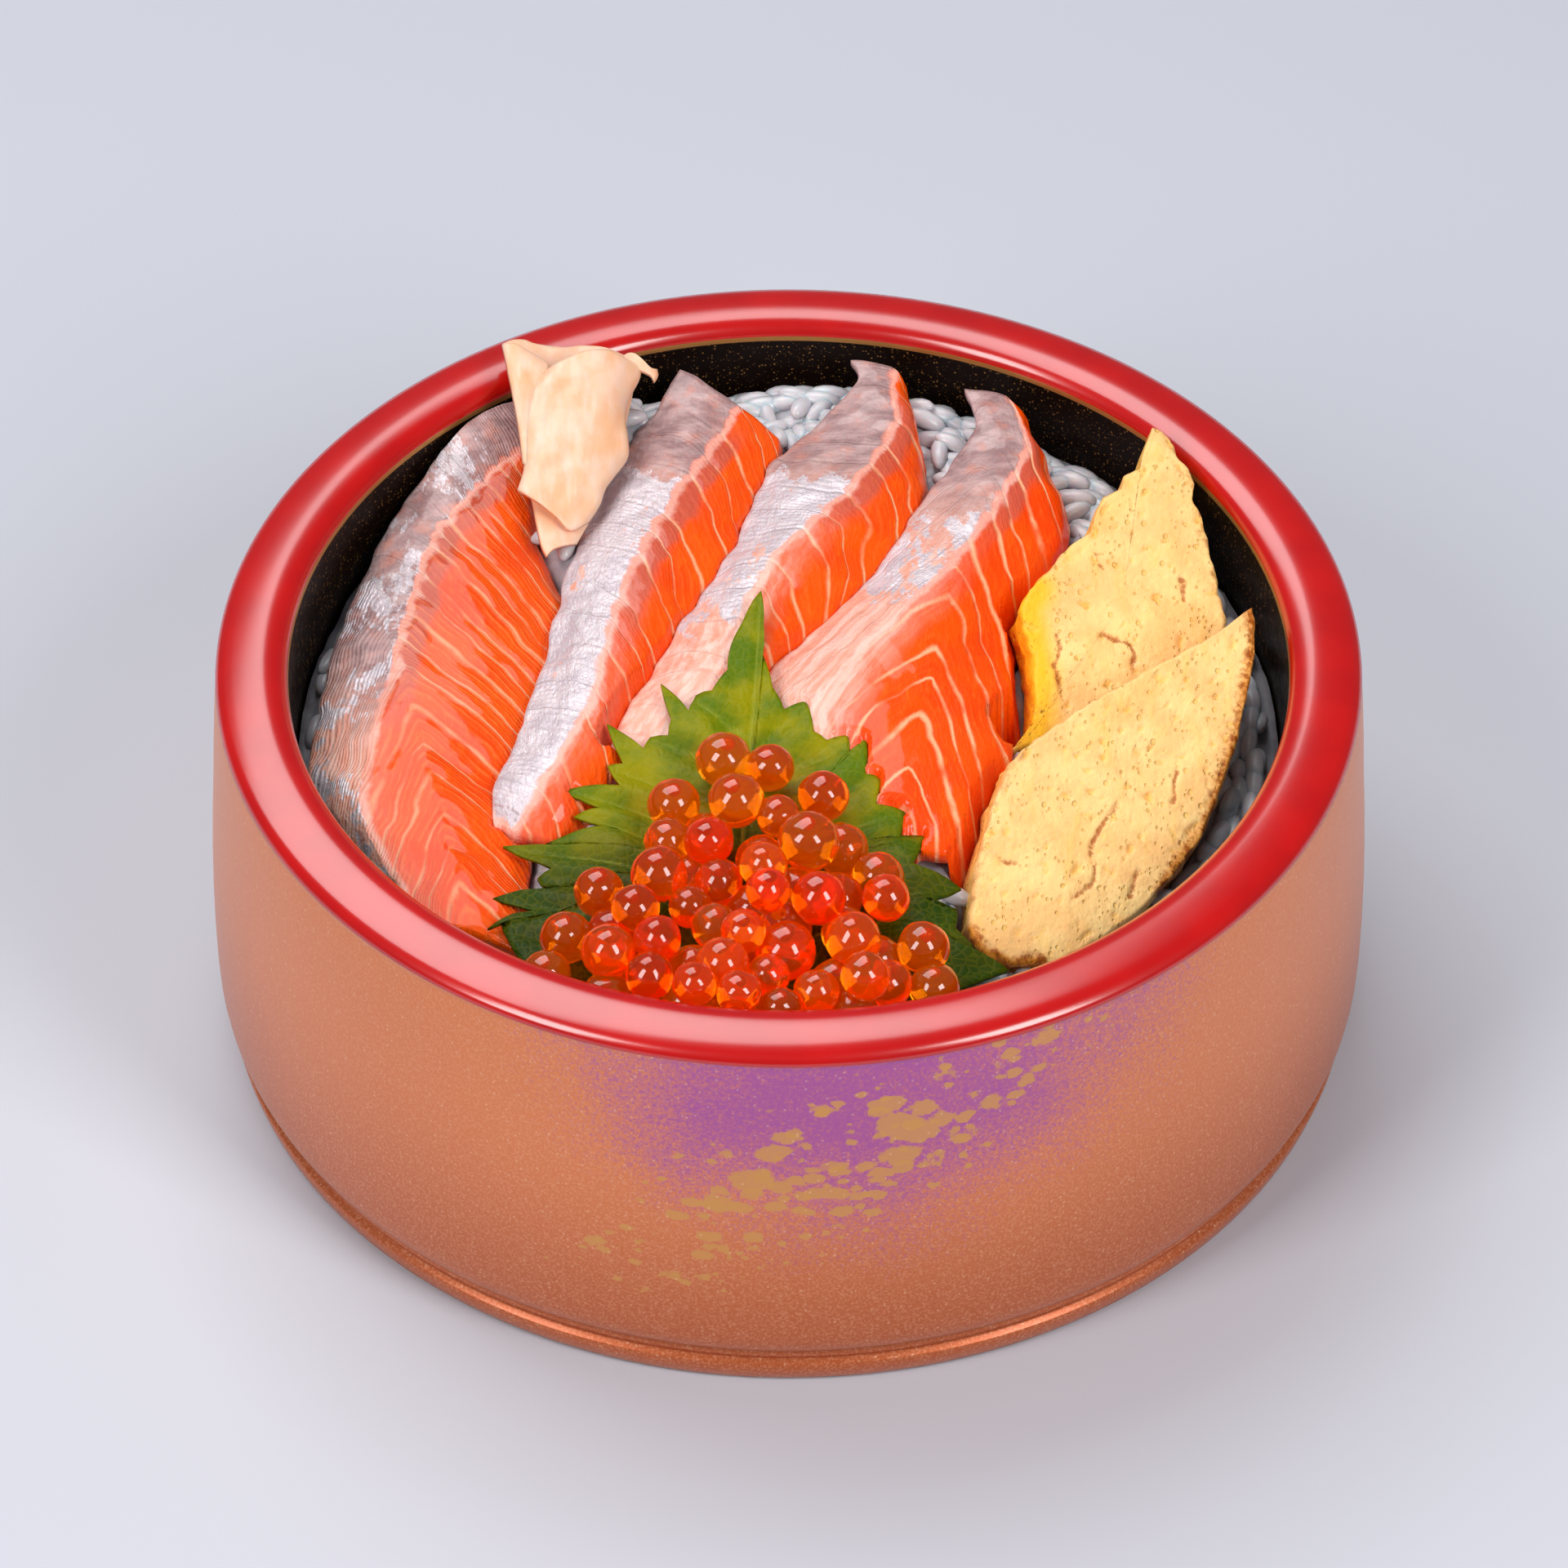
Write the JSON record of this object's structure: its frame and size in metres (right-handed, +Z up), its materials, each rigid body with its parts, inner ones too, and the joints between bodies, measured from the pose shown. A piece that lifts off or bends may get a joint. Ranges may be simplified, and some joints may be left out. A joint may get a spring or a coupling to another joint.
{
  "type": "salmon and roe rice bowl",
  "caption": "Lacquered tub bowl of cooked rice topped with raw salmon slices, salmon roe on a green leaf, rolled omelette slabs and pickled ginger.",
  "frame": {"origin": "centre of the bowl's footprint, on the surface it stands on", "axes": "+Z up along the bowl's axis; -Y towards the roe and the side the picture shows; +X towards the omelette"},
  "size_m": [0.1596, 0.1596, 0.0692],
  "materials": {
    "lacquered_bowl": "red lacquered rim, copper coloured outside, black inside with gold dust",
    "cooked_rice": "moist, slightly see-through grains",
    "raw_salmon": "wet, orange flesh with pale lines and a silvery skin side",
    "pickled_ginger": "moist, thin and slightly see-through",
    "shiso_leaf": "soft satin leaf with veins",
    "salmon_roe": "glossy see-through eggs",
    "rolled_omelette": "moist, fine pores, browned edges"
  },
  "bodies": {
    "root": {"bowl": "lacquered_bowl", "rice": "cooked_rice", "salmon_1": "raw_salmon", "salmon_2": "raw_salmon", "salmon_3": "raw_salmon", "salmon_4": "raw_salmon", "ginger": "pickled_ginger", "shiso_leaf": "shiso_leaf", "roe": "salmon_roe", "tamago_back": "rolled_omelette", "tamago_front": "rolled_omelette"}
  },
  "joints": []
}
